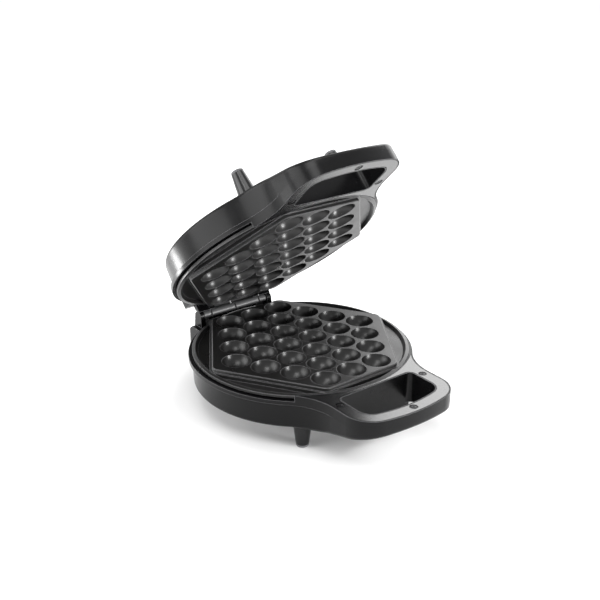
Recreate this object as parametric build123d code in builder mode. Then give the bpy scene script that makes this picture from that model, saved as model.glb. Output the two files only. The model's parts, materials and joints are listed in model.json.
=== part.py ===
from build123d import *
from math import atan2, degrees, sqrt
import os

os.makedirs("parts", exist_ok=True)

# Bubble waffle maker, a base and a lid of the same form, joined by a hinge at the back.
# Lengths are millimetres. The table is z = 0, the handles point to -Y, the hinge is at +Y.
# Each half is drawn in its own frame at the bezel's face, x across, y to the hinge and z
# into the half, so that a depth is positive in the base and in the lid alike.

# Placing of the two halves
plate_centre_y = 12.6
closing_gap = 6.4
lid_open_angle = 44.3

# Baking field: cavities in rows of 3, 4, 5, 6, 5, 4 and 3
cavity_pitch = 30.0
cavity_web = 2.0
cavity_depth = 11.5
rows_each_side = 3
longest_row_count = 6
web_height = 2.4
web_edge = 0.5

# Hexagonal platform of the field, in two steps, its front and back corners on the rim's circle
field_margin = 15.5
field_front_half_width = 43.0
field_corner_radius = 10.0
step_width = 2.2
step_depth = 1.0
platform_draft = 8.0

# Plate casting round the field
floor_depth = 4.5
floor_thickness = 3.0
rim_margin = 1.1
rim_width = 3.1
rim_slope_width = 2.6
rim_depth = 1.1
rim_shoulder_depth = 2.1
skirt_thickness = 2.2
heater_pad_inset = 12.6
cavity_floor = 2.8

# Heater, reflector and what holds the plate
heater_tube_diameter = 7.0
heater_screw_distance = 11.6
heater_gap_angle = 17.0
heater_bend_radius = 12.0
heater_tail_inset = 9.0
heater_pin_diameter = 3.0
heater_pin_length = 6.0
reflector_clearance = 1.0
reflector_thickness = 0.8
reflector_distance = 10.4
plate_screw_x = cavity_pitch
plate_screw_rows = 7 / 3
plate_screw_diameter = 3.4
plate_screw_hole_depth = 8.0
plate_screw_head_diameter = 6.6
plate_screw_head_height = 2.2
plate_screw_recess = 4.0
spacer_diameter = 8.0
wire_slot_inset = 17.0
wire_slot_length = 40.0
wire_slot_width = 10.0

# Moulded shell of a half
shell_depth = 35.5
wall = 2.6
lip_ledge = 2.2
lip_depth = 5.8
lip_height = 4.1
wall_set_in = 3.3
wall_draft = 2.5
bottom_edge_radius = 3.5

# Handle
bezel_arc_gap = 1.5
handle_half_width = 56.6
handle_length = 60.1
handle_front_radius = 155.0
handle_corner_radius = 28.0
flare_radius = 56.5
notch_setback = 25.3
handle_bar_width = 14.0
hand_hole_gap = 1.7
hand_hole_back_corner = 5.0
handle_slope_setback = 14.3
handle_slope_blend_radius = 90.0
handle_front_depth = 15.0
bezel_thickness = 2.0
bezel_border = 0.8
bezel_clearance = 0.4
bezel_screw_side_inset = 7.7
bezel_screw_lip_distance = 11.6
bezel_screw_front_inset = 7.9
bezel_screw_diameter = 3.0
bezel_screw_length = 9.0
bezel_screw_head_diameter = 6.4
bezel_screw_recess = 1.1
bezel_screw_head_gap = 0.2
screw_clearance = 0.2
screw_head_clearance = 0.4
boss_wall = 2.6

# Hinge block at the back of each shell
block_half_width = 55.0
block_depth = 9.0
block_length = 14.0
block_edge = 1.5
block_bottom_edge = 4.0
base_block_drop = 7.0
lid_block_drop = 1.5
block_corner_radius = 8.0

# Hinge, a little to the side where the cord comes in
hinge_side_offset = 5.0
hinge_rim_distance = 3.4
hinge_height = 1.8
knuckle_radius = 4.0
pin_radius = 1.5
pin_clearance = 0.05
pin_half_length = 44.0
leaf_thickness = 2.0
leaf_front_length = 5.0
long_knuckle_start = 0.7
long_knuckle_length = 28.2
knuckle_gap = 1.6
short_knuckle_length = 8.0
ear_gap = 0.5
ear_width = 5.5
ear_radius = 5.5
ear_foot_half_length = 7.5
ear_root = 6.0
lug_clearance = 0.5
lug_end_height = 2.0
lug_setback = 1.0
fence_gap = 1.2
fence_drop = 6.8
leaf_screw_x = 20.0
leaf_screw_setback = 1.5
leaf_screw_diameter = 3.0
leaf_screw_length = 8.0
leaf_screw_head_diameter = 5.6
leaf_screw_head_height = 1.8

# Feet
foot_x = 53.5
foot_y = 73.5
foot_length = 23.0
foot_top_radius = 9.0
foot_tip_radius = 6.2
foot_spigot_radius = 4.0
foot_spigot_clearance = 0.1
foot_screw_diameter = 3.0
foot_screw_length = 12.0
foot_screw_head_radius = 6.0
foot_screw_head_height = 2.0
pad_height = 2.5
pad_radius = 6.0
pad_edge_radius = 1.2

# Electrical pieces
thermostat_radius = 8.0
thermostat_height = 6.5
thermostat_y = 20.0
thermostat_flange_length = 26.0
thermostat_flange_thickness = 1.0
fuse_radius = 2.2
fuse_length = 24.0
fuse_clip_length = 12.0
fuse_clip_wall = 1.0
fuse_y = 30.0
terminal_block_length = 30.0
terminal_block_width = 12.0
terminal_block_height = 11.0
terminal_block_x = -22.0
terminal_screw_count = 3
terminal_screw_radius = 2.0
terminal_screw_depth = 3.0
gland_x = 26.0
gland_lift = 6.9
gland_bore_radius = 3.2
gland_body_radius = 4.4
gland_flange_radius = 5.4
gland_flange_thickness = 2.0
gland_inside_length = 4.0
gland_clearance = 0.05
lamp_x = 11.0
lamp_y = -70.0
lamp_lens_radius = 4.0
lamp_lens_flange_radius = 5.2
lamp_lens_proud = 1.4
lamp_flange_thickness = 1.0
lamp_holder_gap = 0.8
lamp_holder_wall = 1.6
lamp_clearance = 0.05

# Radii and lengths that follow
row_spacing = cavity_pitch * sqrt(3) / 2
cavity_radius = (cavity_pitch - cavity_web) / 2
field_half_length = (longest_row_count - 1) / 2 * cavity_pitch + cavity_radius + field_margin
rim_outer_radius = field_half_length + rim_margin
field_half_width = sqrt(rim_outer_radius**2 - field_front_half_width**2)
rim_inner_radius = rim_outer_radius - rim_width
floor_radius = rim_inner_radius - rim_slope_width
skirt_inner_radius = rim_outer_radius - skirt_thickness
heater_pad_radius = rim_outer_radius - heater_pad_inset
heater_tail_end_y = heater_pad_radius - heater_tail_inset
wire_slot_y = heater_pad_radius - wire_slot_inset
plate_screw_y = plate_screw_rows * row_spacing
heater_loop_radius = sqrt(plate_screw_x**2 + plate_screw_y**2) - heater_screw_distance
bezel_arc_radius = rim_outer_radius + bezel_arc_gap
lip_radius = bezel_arc_radius + lip_ledge
wall_radius = lip_radius - wall_set_in
notch_y = lip_radius - notch_setback
handle_slope_start_y = lip_radius - handle_slope_setback
hand_hole_back_y = lip_radius + hand_hole_gap
hand_hole_half_width = handle_half_width - handle_bar_width
handle_reach = lip_radius + handle_length
side_front_y = -handle_reach + handle_front_radius
side_front_y -= sqrt(handle_front_radius**2 - handle_half_width**2)
far = 2 * handle_reach
hinge_y = rim_outer_radius + hinge_rim_distance
block_flat_end_y = hinge_y + knuckle_radius
block_back_y = hinge_y + block_length
leaf_front_y = hinge_y - leaf_front_length
leaf_screw_y = hinge_y - leaf_screw_setback
fence_y = block_flat_end_y + fence_gap
short_knuckle_start = long_knuckle_start + long_knuckle_length + knuckle_gap
ear_start = short_knuckle_start + short_knuckle_length + ear_gap
ear_end = ear_start + ear_width
foot_taper = degrees(atan2(foot_top_radius - foot_tip_radius, foot_length))

# Depths and heights that follow
lip_bottom = lip_depth + lip_height
inner_floor = shell_depth - wall
cavity_bottom = cavity_depth - web_height
cavity_sphere_radius = (cavity_radius**2 + cavity_depth**2) / (2 * cavity_depth)
cavity_centre_depth = cavity_bottom - cavity_sphere_radius
floor_back = floor_depth + floor_thickness
heater_pad_depth = cavity_bottom + cavity_floor
reflector_depth = heater_pad_depth + reflector_distance
reflector_back = reflector_depth + reflector_thickness
lamp_holder_height = inner_floor - reflector_back - lamp_holder_gap
gland_depth = inner_floor - gland_lift
stand_height = shell_depth + foot_length + pad_height
handle_slope = (shell_depth - handle_front_depth) / (handle_reach - handle_slope_start_y)
slope_end_depth = shell_depth - handle_slope * (far - handle_slope_start_y)
base_pin_depth = -hinge_height
lid_pin_depth = hinge_height - closing_gap

cavity_points = [
    ((place - (count - 1) / 2) * cavity_pitch, row * row_spacing)
    for row in range(-rows_each_side, rows_each_side + 1)
    for count in [longest_row_count - abs(row)]
    for place in range(count)
]
plate_screw_points = [(side * plate_screw_x, end * plate_screw_y) for side in (-1, 1) for end in (-1, 1)]
bezel_screw_x = handle_half_width - bezel_screw_side_inset
bezel_screw_y = lip_radius + bezel_screw_lip_distance
bezel_screw_points = [
    (-bezel_screw_x, -bezel_screw_y),
    (bezel_screw_x, -bezel_screw_y),
    (0, bezel_screw_front_inset - handle_reach),
]
foot_points = [(side * foot_x, end * foot_y) for side in (-1, 1) for end in (-1, 1)]
lamp_points = [(-lamp_x, lamp_y), (lamp_x, lamp_y)]

# The planes of the two halves; the lid stands open, turned about the hinge pin
base_half = Plane((0, plate_centre_y, stand_height), x_dir=(-1, 0, 0), z_dir=(0, 0, -1))
lid_closed = Plane((0, plate_centre_y, stand_height + closing_gap))
hinge_place = Pos(0, plate_centre_y + hinge_y, stand_height + hinge_height)
lid_half = Plane(hinge_place * Rot(X=-lid_open_angle) * hinge_place.inverse() * lid_closed.location)


def outline(circle_radius):
    """Drum circle and handle in one outline, with the flares between them."""
    with BuildSketch() as drawn:
        Circle(circle_radius)
        with BuildLine():
            front = ThreePointArc(
                (-handle_half_width, side_front_y),
                (0, -handle_reach),
                (handle_half_width, side_front_y),
            )
            Polyline(front @ 1, (handle_half_width, 0), (-handle_half_width, 0), front @ 0)
        make_face()
        fillet(drawn.vertices().group_by(Axis.Y)[1], flare_radius)
        fillet(drawn.vertices().group_by(Axis.Y)[0], handle_corner_radius)
    return drawn.sketch


def hand_hole(grow=0.0):
    """Opening in the handle, a bar's width inside its outline and straight at the back."""
    with BuildSketch() as drawn:
        add(outline(lip_radius))
        offset(amount=-handle_bar_width, mode=Mode.REPLACE)
        with Locations((0, -hand_hole_back_y - far / 2)):
            Rectangle(far, far, mode=Mode.INTERSECT)
        fillet(drawn.vertices().group_by(Axis.Y)[-1], hand_hole_back_corner)
        if grow:
            offset(amount=grow, mode=Mode.REPLACE)
    return drawn.sketch


def handle_top(inset=0.0):
    """Face of the handle at the bezel, from notch to notch round the plate."""
    with BuildSketch() as drawn:
        add(outline(lip_radius))
        Circle(bezel_arc_radius, mode=Mode.SUBTRACT)
        with Locations((0, -notch_y - far / 2)):
            Rectangle(far, far, mode=Mode.INTERSECT)
        if inset:
            offset(amount=-inset, mode=Mode.REPLACE)
    return drawn.sketch


def field_outline(inset=0.0):
    """Rounded hexagon round the cavities."""
    with BuildSketch() as drawn:
        with BuildLine():
            Polyline(
                (field_half_length, 0),
                (field_front_half_width, field_half_width),
                (-field_front_half_width, field_half_width),
                (-field_half_length, 0),
                (-field_front_half_width, -field_half_width),
                (field_front_half_width, -field_half_width),
                close=True,
            )
        make_face()
        fillet(drawn.vertices(), field_corner_radius)
        if inset:
            offset(amount=-inset, mode=Mode.REPLACE)
    return drawn.sketch


def below_underside(lift=0.0):
    """Side view of all that lies deeper than the shell's underside, less a lift."""
    with BuildSketch(Plane.YZ) as drawn:
        with BuildLine():
            underside = FilletPolyline(
                (far, shell_depth - lift),
                (-handle_slope_start_y, shell_depth - lift),
                (-far, slope_end_depth - lift),
                radius=handle_slope_blend_radius,
            )
            Polyline(underside @ 1, (-far, far), (far, far), underside @ 0)
        make_face()
    return drawn.sketch


def hinge_block(drop, inset=0.0):
    """Side view of the block that carries the hinge, its back dropped so that the lid can swing."""
    with BuildSketch(Plane.YZ) as drawn:
        Polygon(
            (0, block_depth),
            (block_flat_end_y, block_depth),
            (block_back_y - block_edge, block_depth + drop),
            (block_back_y, block_depth + drop + block_edge),
            (block_back_y, shell_depth - block_bottom_edge),
            (block_back_y - block_bottom_edge, shell_depth),
            (0, shell_depth),
            align=None,
        )
        if inset:
            offset(amount=-inset, kind=Kind.INTERSECTION, mode=Mode.REPLACE)
    return drawn.sketch


def outward(points, depth):
    """Places at a depth that face out of the shell's underside or the bezel."""
    return [Pos(x, y, depth) * Rot(Y=180) for x, y in points]


def leaf_screw_points(hinge_x):
    return [(hinge_x - leaf_screw_x, leaf_screw_y), (hinge_x + leaf_screw_x, leaf_screw_y)]


def hinge_ear():
    """Side view of the base's ears: round about the pin, wider at the foot."""
    foot_depth = block_depth + ear_root
    with BuildSketch() as drawn:
        with Locations((hinge_y, base_pin_depth)):
            Circle(ear_radius)
        Polygon(
            (hinge_y - ear_radius, base_pin_depth),
            (hinge_y + ear_radius, base_pin_depth),
            (hinge_y + ear_foot_half_length, foot_depth),
            (hinge_y - ear_foot_half_length, foot_depth),
            align=None,
        )
    return drawn.sketch


def hinge_lug():
    """Side view of the lid's lugs, hollowed to swing round the base's ears."""
    front_y = hinge_y - ear_radius - lug_clearance
    with BuildSketch() as drawn:
        with Locations((front_y, lid_pin_depth + lug_end_height)):
            Rectangle(
                hinge_y - lug_setback - front_y,
                block_depth + wall / 2 - lid_pin_depth - lug_end_height,
                align=(Align.MIN, Align.MIN),
            )
        with Locations((hinge_y, lid_pin_depth)):
            Circle(ear_radius + lug_clearance, mode=Mode.SUBTRACT)
    return drawn.sketch


def hinge_fence():
    """Side view of the rib between the base's ears, behind the knuckles."""
    top_depth = base_pin_depth + fence_drop
    with BuildSketch() as drawn:
        with Locations((fence_y, top_depth)):
            Rectangle(wall, block_depth + ear_root - wall - top_depth, align=(Align.MIN, Align.MIN))
    return drawn.sketch


def make_shell(is_base, block_drop, hinge_x):
    """Moulded shell: drum, stepped lip, handle, hinge block and inner bosses."""
    with BuildPart() as pocket:
        with BuildSketch(Plane.XY.offset(bezel_thickness)):
            add(outline(wall_radius))
            offset(amount=-wall, mode=Mode.REPLACE)
        extrude(amount=shell_depth, taper=wall_draft)
        with BuildSketch(Plane.XY.offset(bezel_thickness)):
            Circle(bezel_arc_radius + wall)
            add(hand_hole(wall))
            with Locations(*bezel_screw_points):
                Circle(bezel_screw_diameter / 2 + boss_wall)
        extrude(amount=shell_depth, mode=Mode.SUBTRACT)
        extrude(below_underside(wall), amount=far, both=True, mode=Mode.SUBTRACT)

    with BuildPart() as shell:
        # Drum wall and handle with their draft, the underside sloping up to the handle's front
        with BuildSketch(Plane.XY.offset(lip_bottom)):
            add(outline(wall_radius))
        extrude(amount=shell_depth - lip_bottom, taper=wall_draft)
        extrude(below_underside(), amount=far, both=True, mode=Mode.SUBTRACT)
        underside = shell.faces().filter_by(lambda face: face.normal_at().Z > 0.9)
        sides = shell.faces() - underside
        fillet(underside.edges() & sides.edges(), bottom_edge_radius)

        extrude(hinge_block(block_drop), amount=block_half_width, both=True)
        fillet(shell.edges().filter_by(Axis.Z).sort_by(Axis.Y)[-2:], block_corner_radius)

        # Stepped lip, cut away over the hinge block
        with BuildSketch(Plane.XY.offset(lip_depth)):
            add(outline(lip_radius))
        extrude(amount=lip_height)
        with BuildSketch(Plane.XY.offset(lip_depth)):
            with Locations((0, far / 2)):
                Rectangle(2 * block_half_width, far)
        extrude(amount=block_depth - lip_depth, mode=Mode.SUBTRACT)

        # Raised face of the handle, with the seat of the bezel
        with BuildSketch():
            add(handle_top())
        extrude(amount=lip_depth)
        with BuildSketch():
            add(handle_top(bezel_border))
            add(hand_hole(bezel_border), mode=Mode.SUBTRACT)
        extrude(amount=bezel_thickness, mode=Mode.SUBTRACT)

        # Hollow of the drum, the hinge block and the handle
        with BuildSketch(Plane.XY.offset(lip_depth)):
            Circle(wall_radius - wall)
        extrude(amount=inner_floor - lip_depth, taper=wall_draft, mode=Mode.SUBTRACT)
        hollow_half_width = block_half_width - wall
        extrude(hinge_block(block_drop, wall), amount=hollow_half_width, both=True, mode=Mode.SUBTRACT)
        add(pocket.part, mode=Mode.SUBTRACT)
        with BuildSketch():
            add(hand_hole())
        extrude(amount=shell_depth, mode=Mode.SUBTRACT)

        # Ears for the pin with the rib between them, or the lugs over them
        carrier, carrier_start = (hinge_ear(), ear_start) if is_base else (hinge_lug(), short_knuckle_start)
        for side in (-1, 1):
            with BuildSketch(Plane.YZ.offset(hinge_x + side * carrier_start)):
                add(carrier)
            extrude(amount=side * (ear_end - carrier_start))
        if is_base:
            with BuildSketch(Plane.YZ.offset(hinge_x)):
                add(hinge_fence())
            extrude(amount=ear_start, both=True)
            with BuildSketch(Plane.YZ.offset(hinge_x)):
                with Locations((hinge_y, base_pin_depth)):
                    Circle(pin_radius)
            extrude(amount=pin_half_length, both=True, mode=Mode.SUBTRACT)

        # Bosses for the screws of the plate, the leaf and the bezel
        with BuildSketch(Plane.XY.offset(reflector_back)):
            with Locations(*plate_screw_points):
                Circle(plate_screw_diameter / 2 + boss_wall)
        extrude(amount=shell_depth - wall / 2 - reflector_back)
        with Locations(*[Pos(x, y, shell_depth) for x, y in plate_screw_points]):
            CounterBoreHole(
                plate_screw_diameter / 2 + screw_clearance,
                plate_screw_head_diameter / 2 + screw_head_clearance,
                plate_screw_recess,
            )
        with BuildSketch(Plane.XY.offset(block_depth)):
            with Locations(*leaf_screw_points(hinge_x)):
                Circle(leaf_screw_diameter / 2 + boss_wall)
        extrude(amount=leaf_screw_length)
        with Locations(*outward(leaf_screw_points(hinge_x), block_depth)):
            Hole(leaf_screw_diameter / 2, leaf_screw_length - leaf_thickness)
        with Locations(*outward(bezel_screw_points, bezel_thickness)):
            Hole(bezel_screw_diameter / 2, bezel_screw_length - bezel_thickness)

        # Holes for the feet's spigots and for the cord's gland or the lamps; a skirt at the
        # back of the base's hand hole keeps fingers off the table side of the hot drum
        with Locations(*[Pos(x, y, shell_depth) for x, y in foot_points]):
            Hole(foot_spigot_radius + foot_spigot_clearance, 2 * wall)
        if is_base:
            with BuildSketch(Plane.XY.offset(lip_bottom)):
                with Locations((0, -hand_hole_back_y)):
                    Rectangle(2 * hand_hole_half_width, wall, align=(Align.CENTER, Align.MIN))
            extrude(amount=shell_depth - lip_bottom)
            with Locations(Pos(gland_x, block_back_y, gland_depth) * Rot(X=-90)):
                Hole(gland_body_radius + gland_clearance, 2 * wall)
        else:
            with Locations(*[Pos(x, y, shell_depth) for x, y in lamp_points]):
                Hole(lamp_lens_radius + lamp_clearance, 2 * wall)
    return shell


def make_bezel():
    """Flat bezel let into the handle's face, with three screw recesses."""
    with BuildPart() as bezel:
        with BuildSketch():
            add(handle_top(bezel_border + bezel_clearance))
            add(hand_hole(bezel_border + bezel_clearance), mode=Mode.SUBTRACT)
        extrude(amount=bezel_thickness)
        with Locations(*outward(bezel_screw_points, 0)):
            CounterBoreHole(
                bezel_screw_diameter / 2 + screw_clearance,
                bezel_screw_head_diameter / 2 + screw_head_clearance,
                bezel_screw_recess,
            )
    return bezel


def make_plate():
    """Cast baking plate: rim and skirt, stepped hexagonal platform, cavities, heater pad."""
    with BuildPart() as plate:
        with BuildSketch(Plane.XZ):
            Polygon(
                (0, floor_depth),
                (floor_radius, floor_depth),
                (rim_inner_radius, rim_depth),
                (rim_outer_radius, rim_shoulder_depth),
                (rim_outer_radius, floor_depth),
                (skirt_inner_radius, floor_depth),
                (skirt_inner_radius - floor_thickness, floor_back),
                (heater_pad_radius, floor_back),
                (heater_pad_radius, heater_pad_depth),
                (0, heater_pad_depth),
                align=None,
            )
        revolve(axis=Axis.Z)
        with BuildSketch(Plane.XY.offset(step_depth)):
            add(field_outline())
        extrude(amount=floor_depth - step_depth, taper=-platform_draft)
        with BuildSketch(Plane.XY.offset(-web_height)):
            add(field_outline(step_width))
        extrude(amount=web_height + step_depth + floor_thickness / 2, taper=-platform_draft)
        chamfer(plate.faces().sort_by(Axis.Z)[0].edges(), web_edge)
        with Locations(Pos(0, 0, cavity_centre_depth)):
            with Locations(*cavity_points):
                Sphere(cavity_sphere_radius, mode=Mode.SUBTRACT)
        with Locations(*[Pos(x, y, heater_pad_depth) for x, y in plate_screw_points]):
            Hole(plate_screw_diameter / 2, plate_screw_hole_depth)
    return plate


def make_heating_element():
    """Tubular heater: an open loop on the plate's back with two bent tails and their pins."""
    tube_depth = heater_pad_depth + heater_tube_diameter / 2
    with BuildPart() as element:
        with BuildLine(Plane.XY.offset(tube_depth)) as path:
            loop = CenterArc((0, 0), heater_loop_radius, -90, 180 - heater_gap_angle)
            bend = JernArc(loop @ 1, loop % 1, heater_bend_radius, heater_gap_angle - 90)
            tail_x = (bend @ 1).X
            Line(bend @ 1, (tail_x, heater_tail_end_y))
        with BuildSketch(Plane((0, -heater_loop_radius, tube_depth), z_dir=(1, 0, 0))):
            Circle(heater_tube_diameter / 2)
        sweep(path=path.line)
        with BuildSketch(Plane((tail_x, heater_tail_end_y, tube_depth), z_dir=(0, 1, 0))):
            Circle(heater_pin_diameter / 2)
        extrude(amount=heater_pin_length)
        mirror(about=Plane.YZ)
    return element


def make_reflector():
    """Pressed pan behind the heater, its wall up to the plate's back."""
    inner_radius = heater_pad_radius + reflector_clearance
    with BuildPart() as reflector:
        with BuildSketch(Plane.XZ):
            Polygon(
                (inner_radius, floor_back),
                (inner_radius + reflector_thickness, floor_back),
                (inner_radius + reflector_thickness, reflector_back),
                (0, reflector_back),
                (0, reflector_depth),
                (inner_radius, reflector_depth),
                align=None,
            )
        revolve(axis=Axis.Z)
        with Locations(*[Pos(x, y, reflector_back) for x, y in plate_screw_points]):
            Hole(plate_screw_diameter / 2 + screw_clearance, 2 * reflector_thickness)
        with BuildSketch(Plane.XY.offset(reflector_depth)):
            with Locations((0, wire_slot_y)):
                SlotOverall(wire_slot_length, wire_slot_width)
        extrude(amount=reflector_thickness, mode=Mode.SUBTRACT)
    return reflector


def make_spacers():
    """Sleeves that keep the reflector off the plate."""
    with BuildPart() as spacers:
        with BuildSketch(Plane.XY.offset(heater_pad_depth)):
            with Locations(*plate_screw_points):
                Circle(spacer_diameter / 2)
                Circle(plate_screw_diameter / 2 + screw_clearance, mode=Mode.SUBTRACT)
        extrude(amount=reflector_depth - heater_pad_depth)
    return spacers


def make_screws(points, head_depth, tip_depth, shank_radius, head_radius, head_height):
    """Screws with flat round heads; the head's seat is at head_depth."""
    towards_head = 1 if head_depth > tip_depth else -1
    with BuildPart() as screws:
        with BuildSketch(Plane.XY.offset(head_depth)):
            with Locations(*points):
                Circle(shank_radius)
        extrude(amount=tip_depth - head_depth)
        with BuildSketch(Plane.XY.offset(head_depth)):
            with Locations(*points):
                Circle(head_radius)
        extrude(amount=towards_head * head_height)
    return screws


def make_feet():
    """Tapered feet with a spigot in the shell's underside and a hole for the screw."""
    with BuildPart() as feet:
        with BuildSketch(Plane.XY.offset(shell_depth)):
            with Locations(*foot_points):
                Circle(foot_top_radius)
        extrude(amount=foot_length, taper=foot_taper)
        with BuildSketch(Plane.XY.offset(inner_floor)):
            with Locations(*foot_points):
                Circle(foot_spigot_radius)
        extrude(amount=wall)
        with Locations(*outward(foot_points, inner_floor)):
            Hole(foot_screw_diameter / 2, foot_screw_length)
    return feet


def make_foot_pads():
    """Rounded pads under the feet."""
    with BuildPart() as pads:
        with BuildSketch(Plane.XY.offset(shell_depth + foot_length)):
            with Locations(*foot_points):
                Circle(pad_radius)
        extrude(amount=pad_height)
        fillet(pads.edges().group_by(Axis.Z)[-1], pad_edge_radius)
    return pads


def make_leaf(hinge_x, pin_depth, bore_radius, knuckle_start, knuckle_length):
    """Hinge leaf: rolled knuckles, the flange behind them and the screwed foot plate."""
    with BuildPart() as leaf:
        for side in (-1, 1):
            with BuildSketch(Plane.YZ.offset(hinge_x + side * knuckle_start)):
                with Locations((hinge_y, pin_depth)):
                    Circle(knuckle_radius)
                with Locations((block_flat_end_y, pin_depth)):
                    Rectangle(
                        leaf_thickness,
                        block_depth - pin_depth,
                        align=(Align.MAX, Align.MIN),
                    )
                with Locations((hinge_y, pin_depth)):
                    Circle(bore_radius, mode=Mode.SUBTRACT)
            extrude(amount=side * knuckle_length)
        with BuildSketch(Plane.YZ.offset(hinge_x)):
            with Locations((leaf_front_y, block_depth)):
                Rectangle(
                    block_flat_end_y - leaf_front_y,
                    leaf_thickness,
                    align=(Align.MIN, Align.MAX),
                )
        extrude(amount=knuckle_start + knuckle_length, both=True)
        with Locations(*outward(leaf_screw_points(hinge_x), block_depth - leaf_thickness)):
            Hole(leaf_screw_diameter / 2 + screw_clearance, 2 * leaf_thickness)
    return leaf


def make_leaf_screws(hinge_x):
    return make_screws(
        leaf_screw_points(hinge_x),
        block_depth - leaf_thickness,
        block_depth - leaf_thickness + leaf_screw_length,
        leaf_screw_diameter / 2,
        leaf_screw_head_diameter / 2,
        leaf_screw_head_height,
    )


def make_hinge_pin(hinge_x):
    with BuildPart() as pin:
        with BuildSketch(Plane.YZ.offset(hinge_x)):
            with Locations((hinge_y, base_pin_depth)):
                Circle(pin_radius)
        extrude(amount=pin_half_length, both=True)
    return pin


def make_thermostat():
    """Disc thermostat with its flange, held against the plate's back."""
    with BuildPart() as thermostat:
        with BuildSketch(Plane.XY.offset(heater_pad_depth)):
            with Locations((0, thermostat_y)):
                SlotOverall(thermostat_flange_length, 2 * heater_tube_diameter)
        extrude(amount=thermostat_flange_thickness)
        with BuildSketch(Plane.XY.offset(heater_pad_depth)):
            with Locations((0, thermostat_y)):
                Circle(thermostat_radius)
        extrude(amount=thermostat_height)
    return thermostat


def make_thermal_fuse():
    """Thermal fuse in a clip on the plate's back."""
    clip_width = 2 * (fuse_radius + fuse_clip_wall)
    fuse_depth = heater_pad_depth + fuse_clip_wall + fuse_radius
    with BuildPart() as fuse:
        with BuildSketch(Plane.YZ):
            with Locations((-fuse_y, fuse_depth)):
                Circle(fuse_radius)
        extrude(amount=fuse_length / 2, both=True)
        with Locations(Pos(0, -fuse_y, heater_pad_depth)):
            Box(fuse_clip_length, clip_width, clip_width, align=(Align.CENTER, Align.CENTER, Align.MIN))
    return fuse


def make_terminal_block():
    """Terminal block on the floor of the hinge block, with screw wells in its face."""
    top_depth = inner_floor - terminal_block_height
    with BuildPart() as block:
        with BuildSketch(Plane.XY.offset(top_depth)):
            with Locations((terminal_block_x, hinge_y)):
                Rectangle(terminal_block_length, terminal_block_width)
        extrude(amount=terminal_block_height)
        with Locations(Pos(terminal_block_x, hinge_y, top_depth) * Rot(Y=180)):
            with GridLocations(terminal_block_length / terminal_screw_count, 0, terminal_screw_count, 1):
                Hole(terminal_screw_radius, terminal_screw_depth)
    return block


def make_cord_gland():
    """Bushing in the back wall where the supply lead enters."""
    with BuildPart() as gland:
        with BuildSketch(Plane((gland_x, block_back_y, gland_depth), z_dir=(0, 1, 0))):
            Circle(gland_flange_radius)
        extrude(amount=gland_flange_thickness)
        with BuildSketch(Plane((gland_x, block_back_y, gland_depth), z_dir=(0, 1, 0))):
            Circle(gland_body_radius)
        extrude(amount=-wall - gland_inside_length)
        with Locations(Pos(gland_x, block_back_y + gland_flange_thickness, gland_depth) * Rot(X=-90)):
            Hole(gland_bore_radius)
    return gland


def make_lens(x):
    """Domed lens of an indicator lamp, its flange inside the shell."""
    with BuildPart() as lens:
        with BuildSketch(Plane.XY.offset(inner_floor)):
            with Locations((x, lamp_y)):
                Circle(lamp_lens_radius)
        extrude(amount=wall + lamp_lens_proud)
        fillet(lens.edges().group_by(Axis.Z)[-1], lamp_lens_proud * 0.9)
        with BuildSketch(Plane.XY.offset(inner_floor)):
            with Locations((x, lamp_y)):
                Circle(lamp_lens_flange_radius)
        extrude(amount=-lamp_flange_thickness)
    return lens


def make_lamp_holder():
    """Holder that keeps both lenses and their lamps to the shell's inner face."""
    length = 2 * (lamp_x + lamp_lens_flange_radius + lamp_holder_wall)
    width = 2 * (lamp_lens_flange_radius + lamp_holder_wall)
    with BuildPart() as holder:
        with BuildSketch(Plane.XY.offset(inner_floor - lamp_holder_height)):
            with Locations((0, lamp_y)):
                Rectangle(length, width)
        extrude(amount=lamp_holder_height)
        with Locations(*[Pos(x, lamp_y, inner_floor) for x in (-lamp_x, lamp_x)]):
            CounterBoreHole(
                lamp_lens_radius - lamp_holder_wall,
                lamp_lens_flange_radius + lamp_clearance,
                lamp_flange_thickness,
                lamp_holder_height - lamp_holder_wall,
            )
    return holder


def export(piece, half, name):
    """Writes a piece, drawn in the frame of a half, at its place in the object."""
    with BuildPart() as placed:
        add(piece.part.moved(half.location))
    placed.part.label = name
    export_step(placed.part, f"parts/{name}.step")


plate = make_plate()
bezel = make_bezel()
heating_element = make_heating_element()
reflector = make_reflector()
spacers = make_spacers()
feet = make_feet()
foot_pads = make_foot_pads()
thermal_fuse = make_thermal_fuse()
plate_screws = make_screws(
    plate_screw_points,
    shell_depth - plate_screw_recess,
    heater_pad_depth - plate_screw_hole_depth,
    plate_screw_diameter / 2,
    plate_screw_head_diameter / 2,
    plate_screw_head_height,
)
bezel_screws = make_screws(
    bezel_screw_points,
    bezel_screw_recess,
    bezel_screw_length,
    bezel_screw_diameter / 2,
    bezel_screw_head_diameter / 2,
    bezel_screw_recess - bezel_screw_head_gap,
)
foot_screws = make_screws(
    foot_points,
    inner_floor,
    inner_floor + foot_screw_length,
    foot_screw_diameter / 2,
    foot_screw_head_radius,
    foot_screw_head_height,
)

# The base is drawn from below, so what lies to one side in it lies to the other in the lid
base_hinge_x = hinge_side_offset
lid_hinge_x = -hinge_side_offset
shells = {
    "base": make_shell(True, base_block_drop, base_hinge_x),
    "lid": make_shell(False, lid_block_drop, lid_hinge_x),
}
short_knuckle = (short_knuckle_start, short_knuckle_length)
long_knuckle = (long_knuckle_start, long_knuckle_length)
leaves = {
    "base": make_leaf(base_hinge_x, base_pin_depth, pin_radius, *short_knuckle),
    "lid": make_leaf(lid_hinge_x, lid_pin_depth, pin_radius + pin_clearance, *long_knuckle),
}
leaf_screws = {"base": make_leaf_screws(base_hinge_x), "lid": make_leaf_screws(lid_hinge_x)}

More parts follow.
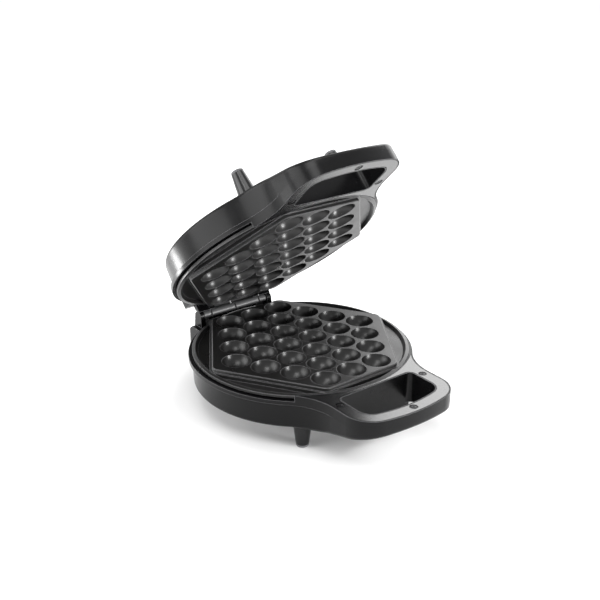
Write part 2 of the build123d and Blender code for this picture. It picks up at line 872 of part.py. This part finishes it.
for half_name, half in (("base", base_half), ("lid", lid_half)):
    export(shells[half_name], half, f"{half_name}_shell")
    export(bezel, half, f"{half_name}_bezel")
    export(bezel_screws, half, f"{half_name}_bezel_screws")
    export(plate, half, f"{half_name}_plate")
    export(plate_screws, half, f"{half_name}_plate_screws")
    export(spacers, half, f"{half_name}_spacers")
    export(heating_element, half, f"{half_name}_heating_element")
    export(reflector, half, f"{half_name}_reflector")
    export(thermal_fuse, half, f"{half_name}_thermal_fuse")
    export(feet, half, f"{half_name}_feet")
    export(foot_pads, half, f"{half_name}_foot_pads")
    export(foot_screws, half, f"{half_name}_foot_screws")
    export(leaves[half_name], half, f"{half_name}_hinge_leaf")
    export(leaf_screws[half_name], half, f"{half_name}_leaf_screws")
export(make_hinge_pin(base_hinge_x), base_half, "hinge_pin")
export(make_thermostat(), base_half, "thermostat")
export(make_terminal_block(), base_half, "terminal_block")
export(make_cord_gland(), base_half, "cord_gland")
export(make_lens(-lamp_x), lid_half, "power_lamp_lens")
export(make_lens(lamp_x), lid_half, "ready_lamp_lens")
export(make_lamp_holder(), lid_half, "lamp_holder")
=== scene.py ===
import json
import math

import bmesh
import bpy
from mathutils import Matrix, Vector


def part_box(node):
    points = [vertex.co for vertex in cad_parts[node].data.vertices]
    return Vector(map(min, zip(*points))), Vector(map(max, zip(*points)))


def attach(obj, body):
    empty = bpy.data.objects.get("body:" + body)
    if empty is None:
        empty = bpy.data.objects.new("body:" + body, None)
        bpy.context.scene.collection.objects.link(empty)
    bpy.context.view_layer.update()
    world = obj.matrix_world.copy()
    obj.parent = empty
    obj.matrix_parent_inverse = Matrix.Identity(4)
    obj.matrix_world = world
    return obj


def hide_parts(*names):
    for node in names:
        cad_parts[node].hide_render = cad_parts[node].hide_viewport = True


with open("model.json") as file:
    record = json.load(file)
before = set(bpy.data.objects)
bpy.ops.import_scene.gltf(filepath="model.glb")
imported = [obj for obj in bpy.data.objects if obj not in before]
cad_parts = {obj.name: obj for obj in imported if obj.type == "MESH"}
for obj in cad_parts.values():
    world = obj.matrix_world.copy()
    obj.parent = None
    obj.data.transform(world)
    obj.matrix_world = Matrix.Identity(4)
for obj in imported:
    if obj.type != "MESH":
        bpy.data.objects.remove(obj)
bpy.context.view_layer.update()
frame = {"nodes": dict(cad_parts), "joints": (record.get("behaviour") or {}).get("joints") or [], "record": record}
nodes = frame["nodes"]

# The two halves. Each has its own frame: x across, y to the hinge, z into the half from its bezel.
HINGE = frame["joints"][0]
LID_ANGLE = math.radians(HINGE["range_deg"][0])
CLOSING_GAP = 0.0064
BEZEL_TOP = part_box("base_bezel")[1][2]
PLATE_Y = (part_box("base_plate")[0][1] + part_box("base_plate")[1][1]) / 2
PLATE_CENTRE = Vector((0, PLATE_Y, BEZEL_TOP))


def half_frames():
    """Matrix from each half's frame to the part's frame, with the lid as it stands at rest."""
    base = Matrix.Translation(PLATE_CENTRE) @ Matrix.Rotation(math.pi, 4, "Y")
    hinge = Matrix.Translation(HINGE["pos_m"])
    closed = Matrix.Translation(PLATE_CENTRE + Vector((0, 0, CLOSING_GAP)))
    turn = Matrix.Rotation(LID_ANGLE, 4, "X")
    return {"base": base, "lid": hinge @ turn @ hinge.inverted() @ closed}


HALVES = half_frames()

# Camera, solved from the plate's cavities, its rim and the handles in the photograph
IMAGE_SIDE = 600
FOCAL_PIXELS = 1023.3
CAMERA_AZIMUTH = math.radians(-37.19)
CAMERA_ELEVATION = math.radians(23.22)
CAMERA_DISTANCE = 1.0
CAMERA_RIGHT = 0.0004
CAMERA_UP = -0.0412
CAMERA_SIGHT = 20


def add_camera():
    back = Vector((
        math.sin(CAMERA_AZIMUTH) * math.cos(CAMERA_ELEVATION),
        -math.cos(CAMERA_AZIMUTH) * math.cos(CAMERA_ELEVATION),
        math.sin(CAMERA_ELEVATION),
    ))
    right = Vector((math.cos(CAMERA_AZIMUTH), math.sin(CAMERA_AZIMUTH), 0))
    up = back.cross(right)
    place = PLATE_CENTRE + CAMERA_DISTANCE * back - CAMERA_RIGHT * right - CAMERA_UP * up
    camera = bpy.data.objects.new("camera", bpy.data.cameras.new("camera"))
    axes = Matrix((right, up, back)).transposed().to_4x4()
    camera.matrix_world = Matrix.Translation(place) @ axes
    camera.data.angle = 2 * math.atan(IMAGE_SIDE / 2 / FOCAL_PIXELS)
    camera.data.clip_end = CAMERA_SIGHT
    bpy.context.scene.collection.objects.link(camera)
    bpy.context.scene.camera = camera


# Materials. Sizes, depths and bevels are in metres, colours are linear.

# Nearly all values of a noise lie between these two
NOISE_LOW = 0.3
NOISE_HIGH = 0.7

# Cosine between the bevelled and the flat normal at which an edge is an edge to the full
EDGE_FACING = 0.9
BEVEL_SAMPLES = 4

# Blotches in the colour of mouldings, and the slow waves in their faces
MOTTLE_SIZE = 0.006
WAVE_SIZE = 0.03
WAVE_DEPTH = 0.00003

# Share of the scale along X that is left in the marks of rolled and drawn metal
STREAK_SCALE = 0.05


class Shading:
    """A new material with its shader, and short calls for the nodes it uses."""

    def __init__(self, name, **values):
        self.material = bpy.data.materials.new(name)
        self.material.use_nodes = True
        self.tree = self.material.node_tree
        self.shader = self.tree.nodes["Principled BSDF"]
        for socket, value in values.items():
            self.shader.inputs[socket.replace("_", " ")].default_value = value
        self.place = self.node("ShaderNodeTexCoord").outputs["Object"]

    def node(self, kind, **values):
        made = self.tree.nodes.new(kind)
        for name, value in values.items():
            setattr(made, name, value)
        return made

    def join(self, source, target):
        self.tree.links.new(source, target)

    def noise(self, size, detail=3.0, roughness=0.5):
        """Noise whose grain is about the given size."""
        made = self.node("ShaderNodeTexNoise")
        made.inputs["Scale"].default_value = 1 / size
        made.inputs["Detail"].default_value = detail
        made.inputs["Roughness"].default_value = roughness
        self.join(self.place, made.inputs["Vector"])
        return made.outputs["Fac"]

    def spread(self, source, low, high, start=NOISE_LOW, end=NOISE_HIGH):
        """Maps the source from start..end to low..high."""
        made = self.node("ShaderNodeMapRange")
        made.inputs["From Min"].default_value = start
        made.inputs["From Max"].default_value = end
        made.inputs["To Min"].default_value = low
        made.inputs["To Max"].default_value = high
        self.join(source, made.inputs["Value"])
        return made.outputs["Result"]

    def blend(self, factor, first, second):
        """Mixes two colours by a factor."""
        made = self.node("ShaderNodeMix", data_type="RGBA")
        self.join(factor, made.inputs["Factor"])
        made.inputs["A"].default_value = (*first, 1)
        made.inputs["B"].default_value = (*second, 1)
        return made.outputs["Result"]

    def bevelled(self, bevel):
        """The surface's normal, with its edges rounded by a bevel radius."""
        made = self.node("ShaderNodeBevel", samples=BEVEL_SAMPLES)
        made.inputs["Radius"].default_value = bevel
        return made.outputs["Normal"]

    def relief(self, heights, bevel):
        """Rounds the edges and lays the heights over them, each (source, depth). Returns the normal."""
        normal = self.bevelled(bevel)
        for source, depth in heights:
            bump = self.node("ShaderNodeBump")
            bump.inputs["Distance"].default_value = depth
            self.join(source, bump.inputs["Height"])
            self.join(normal, bump.inputs["Normal"])
            normal = bump.outputs["Normal"]
        self.join(normal, self.shader.inputs["Normal"])
        return normal

    def edges(self, bevel):
        """1 on sharp edges and 0 elsewhere."""
        rounded = self.bevelled(bevel)
        flat = self.node("ShaderNodeNewGeometry")
        facing = self.node("ShaderNodeVectorMath", operation="DOT_PRODUCT")
        self.join(rounded, facing.inputs[0])
        self.join(flat.outputs["Normal"], facing.inputs[1])
        return self.spread(facing.outputs["Value"], 1, 0, start=EDGE_FACING, end=1.0)

    def highlight_edges(self, body, colour, bevel):
        """The body's colour, with another painted along its edges as a highlight."""
        made = self.node("ShaderNodeMix", data_type="RGBA")
        self.join(self.edges(bevel), made.inputs["Factor"])
        self.join(body, made.inputs["A"])
        made.inputs["B"].default_value = (*colour, 1)
        return made.outputs["Result"]

    def colour(self, source):
        self.join(source, self.shader.inputs["Base Color"])

    def roughness(self, source):
        self.join(source, self.shader.inputs["Roughness"])


def moulded(name, dark, light, rough, grain, grain_depth, bevel=0.0006, edge=None, **values):
    """Moulded plastic: fine grain, slow waves, an uneven gloss and a painted highlight along its edges."""
    made = Shading(name, **values)
    wave = made.noise(WAVE_SIZE)
    body = made.blend(made.noise(MOTTLE_SIZE), dark, light)
    # Painted highlight: the edges take the edge colour, or the light colour when no edge colour is given.
    made.colour(made.highlight_edges(body, edge or light, bevel))
    made.roughness(made.spread(wave, low=rough * 0.85, high=rough * 1.2))
    made.relief(((made.noise(grain), grain_depth), (wave, WAVE_DEPTH)), bevel)
    return made.material


def framed(name, dark, light, grain, grain_depth, joint):
    """Moulding with a satin lacquer, which ends at its edges and leaves the joints there dark."""
    made = Shading(name, Specular_IOR_Level=0.0, Coat_IOR=1.9, Coat_Roughness=0.22)
    speckle = made.noise(grain, detail=4.0)
    made.colour(made.blend(made.noise(MOTTLE_SIZE), dark, light))
    made.roughness(made.spread(speckle, low=0.3, high=0.45))
    lacquer = made.spread(made.edges(joint), low=1, high=0, start=0.1, end=0.6)
    made.join(lacquer, made.shader.inputs["Coat Weight"])
    normal = made.relief(((speckle, grain_depth), (made.noise(WAVE_SIZE), WAVE_DEPTH)), bevel=0.0004)
    made.join(normal, made.shader.inputs["Coat Normal"])
    return made.material


def coated(name, dark, light, edge, grain, grain_depth):
    """Cast aluminium under a dark non-stick coat, with a lighter painted highlight along its edges."""
    made = Shading(name, Specular_IOR_Level=0.38)
    speckle = made.noise(grain, detail=5.0)
    body = made.blend(speckle, dark, light)
    # Painted highlight: the edges take the lighter edge colour.
    made.colour(made.highlight_edges(body, edge, bevel=0.0007))
    made.roughness(made.spread(made.noise(0.02), low=0.27, high=0.34))
    casting = made.noise(0.004)
    made.relief(((speckle, grain_depth), (casting, grain_depth)), bevel=0.0005)
    return made.material


def metal(name, colour, rough, streaks=False):
    """Bare or plated metal with fine marks, drawn out along X where it is rolled or drawn."""
    made = Shading(name, Metallic=1.0)
    stretch = made.node("ShaderNodeMapping")
    stretch.inputs["Scale"].default_value = (STREAK_SCALE, 1, 1) if streaks else (1, 1, 1)
    made.join(made.place, stretch.inputs["Vector"])
    made.place = stretch.outputs["Vector"]
    marks = made.noise(0.0008, detail=6.0)
    dull = tuple(value * 0.75 for value in colour)
    made.colour(made.blend(made.noise(0.008), dull, colour))
    made.roughness(made.spread(marks, low=rough * 0.7, high=rough * 1.3))
    mark_depth = 0.00002
    made.relief(((marks, mark_depth),), bevel=0.0003)
    return made.material


def rubber(name, dark, light):
    """Matt rubber with a fine grain."""
    made = Shading(name, Specular_IOR_Level=0.35)
    grain = made.noise(0.0005, detail=4.0)
    made.colour(made.blend(made.noise(0.003), dark, light))
    made.roughness(made.spread(grain, low=0.6, high=0.8))
    grain_depth = 0.00006
    made.relief(((grain, grain_depth),), bevel=0.0006)
    return made.material


def lens(name, colour):
    """Clear coloured lens, ribbed inside."""
    made = Shading(name, Transmission_Weight=0.55, Roughness=0.08, IOR=1.49)
    ribs = made.node("ShaderNodeTexWave")
    ribs.inputs["Scale"].default_value = 250
    made.join(made.place, ribs.inputs["Vector"])
    dark = tuple(value * 0.6 for value in colour)
    made.colour(made.blend(ribs.outputs["Fac"], dark, colour))
    rib_depth = 0.00003
    made.relief(((ribs.outputs["Fac"], rib_depth),), bevel=0.0003)
    return made.material


def materials():
    """One material for each slot of the record."""
    return {
        # The shell's edge colour is a painted highlight along its edges.
        "shell_plastic": moulded(
            "shell_plastic", (0.002, 0.002, 0.0022), (0.004, 0.004, 0.0044),
            rough=0.24, grain=0.0007, grain_depth=0.000006,
            bevel=0.0009, edge=(0.13, 0.13, 0.135), Specular_IOR_Level=0.16,
        ),
        "bezel_plastic": framed(
            "bezel_plastic", (0.004, 0.004, 0.0045), (0.007, 0.007, 0.0075),
            grain=0.0011, grain_depth=0.00006, joint=0.0012,
        ),
        # The plate's edge colour is a painted highlight along its edges.
        "coated_aluminium": coated(
            "coated_aluminium", (0.006, 0.006, 0.0063), (0.013, 0.0125, 0.012),
            edge=(0.16, 0.16, 0.165), grain=0.0006, grain_depth=0.00004,
        ),
        "heater_steel": metal("heater_steel", (0.42, 0.37, 0.33), rough=0.4),
        "reflector_sheet": metal("reflector_sheet", (0.78, 0.78, 0.8), rough=0.25, streaks=True),
        "zinc_steel": metal("zinc_steel", (0.62, 0.62, 0.6), rough=0.32),
        "black_screw_steel": metal("black_screw_steel", (0.025, 0.025, 0.027), rough=0.3),
        "hinge_steel": moulded(
            "hinge_steel", (0.09, 0.09, 0.092), (0.13, 0.13, 0.133),
            rough=0.36, grain=0.0006, grain_depth=0.00004,
        ),
        "pin_steel": metal("pin_steel", (0.55, 0.55, 0.56), rough=0.25, streaks=True),
        # The feet's edge colour is a painted highlight along their edges.
        "foot_plastic": moulded(
            "foot_plastic", (0.003, 0.003, 0.0033), (0.006, 0.006, 0.0065),
            rough=0.18, grain=0.0008, grain_depth=0.000006,
            edge=(0.08, 0.08, 0.083), Specular_IOR_Level=0.35,
        ),
        "pad_rubber": rubber("pad_rubber", (0.1, 0.1, 0.105), (0.15, 0.15, 0.155)),
        "gland_rubber": rubber("gland_rubber", (0.015, 0.015, 0.015), (0.025, 0.025, 0.025)),
        "phenolic": moulded(
            "phenolic", (0.06, 0.035, 0.02), (0.09, 0.05, 0.03),
            rough=0.45, grain=0.0005, grain_depth=0.00003,
        ),
        "terminal_plastic": moulded(
            "terminal_plastic", (0.7, 0.69, 0.65), (0.76, 0.75, 0.71),
            rough=0.4, grain=0.0005, grain_depth=0.00002,
        ),
        "fuse_sleeve": moulded(
            "fuse_sleeve", (0.74, 0.72, 0.64), (0.82, 0.8, 0.72),
            rough=0.6, grain=0.0004, grain_depth=0.00006,
        ),
        "red_lens": lens("red_lens", (0.55, 0.02, 0.015)),
        "green_lens": lens("green_lens", (0.02, 0.4, 0.07)),
    }


def dress(obj, material):
    obj.data.materials.clear()
    obj.data.materials.append(material)


# Screws with cross recesses

# Each kind, and how far its first screw is turned. From one screw to the next they turn by SCREW_STEP.
SCREW_TURNS = {"bezel_screws": 0.4, "plate_screws": 0.9, "leaf_screws": 0.2, "foot_screws": 0.6}
SCREW_STEP = 0.7

# Points further out than these shares of the head's radius lie on its side, or off the axis
ON_SIDE = 0.99
OFF_AXIS = 0.2

# Head: radius of its flat crown, and how far down its crown, shoulder, brow and side begin
CROWN_RADIUS = 0.55
CROWN_DROP = 0.04
HEAD_ROUND = 0.3
SHOULDER_DROP = 0.15
BROW_ROUND = 0.3
BROW_DROP = 0.35
SIDE_DROP = 0.6

# Point of the shank: where it begins and how thick its end is
POINT_START = 0.93
POINT_RADIUS = 0.7

# Cross recess in shares of the head's radius and height, and how much of it is left at its bottom
RECESS_REACH = 0.55
RECESS_WIDTH = 0.24
RECESS_DEPTH = 0.7
BOTTOM_REACH = 0.45
BOTTOM_WIDTH = 0.7

LATHE_STEPS = 32
SAME_POINT = 1e-6


def islands(node, half):
    """Each loose piece of a node as its vertices in the half's frame, from low x and y to high."""
    mesh = bmesh.new()
    mesh.from_mesh(nodes[node].data)
    bmesh.ops.remove_doubles(mesh, verts=mesh.verts, dist=SAME_POINT)
    mesh.transform(HALVES[half].inverted())
    mesh.verts.index_update()
    left = {vertex.index: vertex for vertex in mesh.verts}
    found = []
    while left:
        piece = [left.pop(min(left))]
        for vertex in piece:
            for edge in vertex.link_edges:
                other = left.pop(edge.other_vert(vertex).index, None)
                if other:
                    piece.append(other)
        found.append([vertex.co.copy() for vertex in piece])
    mesh.free()
    return sorted(found, key=piece_place)


def piece_place(points):
    """Where a piece stands across and along its half, to a tenth of a millimetre."""
    middle = sum(points, Vector()) / len(points)
    return round(middle.x, 4), round(middle.y, 4)


def lathe(profile, steps=LATHE_STEPS):
    """Closed mesh turned from a profile of (radius, height) that starts and ends on the axis."""
    mesh = bmesh.new()
    rings = []
    for radius, height in profile:
        if radius == 0:
            rings.append([mesh.verts.new((0, 0, height))] * steps)
        else:
            turn = 2 * math.pi / steps
            rings.append([
                mesh.verts.new((radius * math.cos(i * turn), radius * math.sin(i * turn), height))
                for i in range(steps)
            ])
    for low, high in zip(rings, rings[1:]):
        for i in range(steps):
            corners = [low[i - 1], low[i], high[i], high[i - 1]]
            mesh.faces.new(list(dict.fromkeys(corners)))
    bmesh.ops.recalc_face_normals(mesh, faces=mesh.faces)
    return mesh


def cross_cutter(reach, width, depth):
    """Two crossed bars that narrow downwards, for the recess of a screw's head."""
    mesh = bmesh.new()
    for turn in (0, math.pi / 2):
        bar = bmesh.ops.create_cube(mesh, size=1)["verts"]
        for vertex in bar:
            at_bottom = vertex.co.z < 0
            vertex.co.x *= 2 * reach * (BOTTOM_REACH if at_bottom else 1)
            vertex.co.y *= width * (BOTTOM_WIDTH if at_bottom else 1)
            vertex.co.z *= 2 * depth
        bmesh.ops.rotate(mesh, verts=bar, matrix=Matrix.Rotation(turn, 3, "Z"))
    return mesh


def as_object(mesh, name):
    """Turns a bmesh into an object of the scene, and frees it."""
    data = bpy.data.meshes.new(name)
    mesh.to_mesh(data)
    mesh.free()
    obj = bpy.data.objects.new(name, data)
    bpy.context.scene.collection.objects.link(obj)
    return obj


def screw_mesh(head_radius, head_height, shank_radius, shank_length):
    """One screw, head up at z = 0, cut by its cross recess."""
    round_over = head_height * HEAD_ROUND
    body = as_object(lathe([
        (0, 0),
        (head_radius * CROWN_RADIUS, -head_height * CROWN_DROP),
        (head_radius - round_over, -head_height * SHOULDER_DROP),
        (head_radius - round_over * BROW_ROUND, -head_height * BROW_DROP),
        (head_radius, -head_height * SIDE_DROP),
        (head_radius, -head_height),
        (shank_radius, -head_height),
        (shank_radius, -head_height - shank_length * POINT_START),
        (shank_radius * POINT_RADIUS, -head_height - shank_length),
        (0, -head_height - shank_length),
    ]), "screw_body")
    recess = cross_cutter(
        head_radius * RECESS_REACH, head_radius * RECESS_WIDTH, head_height * RECESS_DEPTH
    )
    cutter = as_object(recess, "screw_cutter")
    cut = body.modifiers.new("recess", "BOOLEAN")
    cut.operation = "DIFFERENCE"
    cut.object = cutter
    cut.solver = "EXACT"
    cut.use_self = True
    view = bpy.context.evaluated_depsgraph_get()
    data = bpy.data.meshes.new_from_object(body.evaluated_get(view))
    for obj in (body, cutter):
        bpy.data.objects.remove(obj)
    return data


def dress_screws(node, half, material, turn):
    """Stands cross-recessed screws in place of a node's plain ones."""
    made = bmesh.new()
    for number, points in enumerate(islands(node, half)):
        axis = sum(points, Vector()) / len(points)
        low = min(p.z for p in points)
        high = max(p.z for p in points)
        spread = [(math.hypot(p.x - axis.x, p.y - axis.y), p.z) for p in points]
        head_radius = max(radius for radius, depth in spread)
        head = [depth for radius, depth in spread if radius > head_radius * ON_SIDE]
        shank_radius = min(radius for radius, depth in spread if radius > head_radius * OFF_AXIS)
        inward = abs(min(head) - low) < abs(high - max(head))
        head_height = max(head) - min(head)
        data = screw_mesh(head_radius, head_height, shank_radius, high - low - head_height)
        top = low if inward else high
        flip = Matrix.Rotation(math.pi if inward else 0, 4, "X")
        spin = Matrix.Rotation(turn + number * SCREW_STEP, 4, "Z")
        data.transform(Matrix.Translation((axis.x, axis.y, top)) @ flip @ spin)
        made.from_mesh(data)
        bpy.data.meshes.remove(data)
    made.transform(HALVES[half])
    screws = as_object(made, node + "_recessed")
    dress(screws, material)
    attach(screws, half)
    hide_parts(node)


# Ribs of the lid's shell, which close the gaps beside its hinge leaf. Each reaches from a lug
# towards the leaf. Its distances from the pin's axis are to the front, and into the lid for its ends.

RIB_LENGTH = 0.007
RIB_THICKNESS = 0.0012
RIB_END_TAPER = 0.8
RIB_ROUNDING = 0.0003
RIB_FORWARD = 0.0048
RIB_END = 0.0024
RIB_ROOT = 0.0116
LEAF_GAP = 0.0016


def add_lid_ribs():
    pin = HALVES["lid"].inverted() @ Vector(HINGE["pos_m"])
    leaf_low, leaf_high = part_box("lid_hinge_leaf")
    for side, lug_x in (("left", leaf_low[0] - LEAF_GAP), ("right", leaf_high[0] + LEAF_GAP)):
        inward = 1 if side == "left" else -1
        mesh = bmesh.new()
        bmesh.ops.create_cube(mesh, size=1)
        for vertex in mesh.verts:
            at_leaf = vertex.co.x * inward > 0
            at_end = vertex.co.z < 0
            thickness = RIB_THICKNESS * (RIB_END_TAPER if at_end else 1)
            vertex.co = Vector((
                lug_x + (inward * RIB_LENGTH if at_leaf else 0),
                pin.y - RIB_FORWARD + (thickness if vertex.co.y > 0 else 0),
                pin.z + (RIB_END if at_end else RIB_ROOT),
            ))
        bmesh.ops.bevel(
            mesh, geom=mesh.edges[:], offset=RIB_ROUNDING, segments=2, profile=0.5, affect="EDGES"
        )
        bmesh.ops.recalc_face_normals(mesh, faces=mesh.faces)
        mesh.transform(HALVES["lid"])
        rib = as_object(mesh, "lid_hinge_rib_" + side)
        dress(rib, finishes["shell_plastic"])
        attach(rib, "lid")


# Studio. The floor's paper glows where it is seen, from GLOW_NEAR within GLOW_START of the plate's
# middle to GLOW_FAR beyond GLOW_END.

FLOOR_RADIUS = 9.0
FLOOR_STEPS = 64
FLOOR_PAPER = 0.9
GLOW_START = 0.115
GLOW_END = 0.2
GLOW_NEAR = 0.0
GLOW_FAR = 0.55
WORLD_SEEN = 1.0
WORLD_LIGHT = 0.5
SEEN_RAYS = ("Is Camera Ray", "Is Glossy Ray", "Is Transmission Ray")
LAMP_AIM_HEIGHT = 0.05

# Name, azimuth and elevation in degrees, distance, width, height and brightness
LAMPS = (
    ("overhead_softbox", 0, 88, 1.5, 0.8, 0.8, 4.0),
    ("front_light", 22, 4, 1.5, 0.42, 0.36, 48),
    ("back_softbox", 115, 22, 1.6, 1.1, 1.0, 2.9),
    ("left_softbox", -112, 20, 1.3, 1.2, 0.8, 4.3),
    ("high_left_softbox", -57, 59, 1.3, 0.6, 0.5, 6.5),
    ("low_left_card", -142, -11.5, 0.47, 0.1, 0.05, 36),
)


def bearing(azimuth, elevation):
    """Direction at an azimuth in degrees from the front to the right, and an elevation."""
    turn = math.radians(azimuth)
    rise = math.radians(elevation)
    return Vector((
        math.sin(turn) * math.cos(rise),
        -math.cos(turn) * math.cos(rise),
        math.sin(rise),
    ))


def seen_rays(tree):
    """1 for rays from the camera and for those that gloss and glass send on, 0 for all others."""
    path = tree.nodes.new("ShaderNodeLightPath")
    found = path.outputs[SEEN_RAYS[0]]
    for kind in SEEN_RAYS[1:]:
        either = tree.nodes.new("ShaderNodeMath")
        either.operation = "MAXIMUM"
        tree.links.new(found, either.inputs[0])
        tree.links.new(path.outputs[kind], either.inputs[1])
        found = either.outputs["Value"]
    return found


def floor_glow(tree):
    """How strongly the floor's paper glows, by its distance from the middle of the base's plate."""
    place = tree.nodes.new("ShaderNodeTexCoord")
    distance = tree.nodes.new("ShaderNodeVectorMath")
    distance.operation = "DISTANCE"
    distance.inputs[1].default_value = (0, PLATE_Y, 0)
    tree.links.new(place.outputs["Object"], distance.inputs[0])
    made = tree.nodes.new("ShaderNodeMapRange")
    made.interpolation_type = "SMOOTHSTEP"
    made.inputs["From Min"].default_value = GLOW_START
    made.inputs["From Max"].default_value = GLOW_END
    made.inputs["To Min"].default_value = GLOW_NEAR
    made.inputs["To Max"].default_value = GLOW_FAR
    tree.links.new(distance.outputs["Value"], made.inputs["Value"])
    return made.outputs["Result"]


def add_floor():
    """White paper that glows a little where it is seen, but not round the object, to keep its shadow."""
    mesh = bmesh.new()
    bmesh.ops.create_circle(mesh, cap_ends=True, segments=FLOOR_STEPS, radius=FLOOR_RADIUS)
    floor = as_object(mesh, "floor")
    material = bpy.data.materials.new("floor")
    material.use_nodes = True
    tree = material.node_tree
    tree.nodes.clear()
    output = tree.nodes.new("ShaderNodeOutputMaterial")
    paper = tree.nodes.new("ShaderNodeBsdfDiffuse")
    paper.inputs["Color"].default_value = (FLOOR_PAPER, FLOOR_PAPER, FLOOR_PAPER, 1)
    strength = floor_glow(tree)
    lift = tree.nodes.new("ShaderNodeMath")
    lift.operation = "MULTIPLY"
    tree.links.new(seen_rays(tree), lift.inputs[0])
    tree.links.new(strength, lift.inputs[1])
    glow = tree.nodes.new("ShaderNodeEmission")
    both = tree.nodes.new("ShaderNodeAddShader")
    tree.links.new(lift.outputs["Value"], glow.inputs["Strength"])
    tree.links.new(paper.outputs["BSDF"], both.inputs[0])
    tree.links.new(glow.outputs["Emission"], both.inputs[1])
    tree.links.new(both.outputs["Shader"], output.inputs["Surface"])
    dress(floor, material)


def add_world():
    """White where it is seen or mirrored, and a plain light on the object."""
    world = bpy.data.worlds.new("studio")
    bpy.context.scene.world = world
    world.use_nodes = True
    tree = world.node_tree
    background = tree.nodes["Background"]
    background.inputs["Color"].default_value = (1, 1, 1, 1)
    seen = tree.nodes.new("ShaderNodeMix")
    seen.inputs["A"].default_value = WORLD_LIGHT
    seen.inputs["B"].default_value = WORLD_SEEN
    tree.links.new(seen_rays(tree), seen.inputs["Factor"])
    tree.links.new(seen.outputs["Result"], background.inputs["Strength"])


def add_lamp(name, azimuth, elevation, distance, width, height, brightness):
    """Softbox at a bearing from a point above the plate, facing it."""
    outward = bearing(azimuth, elevation)
    lamp = bpy.data.objects.new(name, bpy.data.lights.new(name, "AREA"))
    lamp.data.shape = "RECTANGLE"
    lamp.data.size = width
    lamp.data.size_y = height
    lamp.data.energy = math.pi * width * height * brightness
    target = PLATE_CENTRE + Vector((0, 0, LAMP_AIM_HEIGHT))
    lamp.location = target + distance * outward
    lamp.rotation_euler = outward.to_track_quat("Z", "Y").to_euler()
    lamp.visible_camera = False
    bpy.context.scene.collection.objects.link(lamp)


add_camera()
add_world()
add_floor()
for lamp in LAMPS:
    add_lamp(*lamp)

slots = {entry["node"]: entry["material_slot"] for entry in frame["record"]["subparts"]}
finishes = materials()
for name, obj in nodes.items():
    dress(obj, finishes[slots[name]])
for half in HALVES:
    for kind, turn in SCREW_TURNS.items():
        node = f"{half}_{kind}"
        dress_screws(node, half, finishes[slots[node]], turn)
add_lid_ribs()

bpy.context.scene.view_settings.view_transform = "Standard"
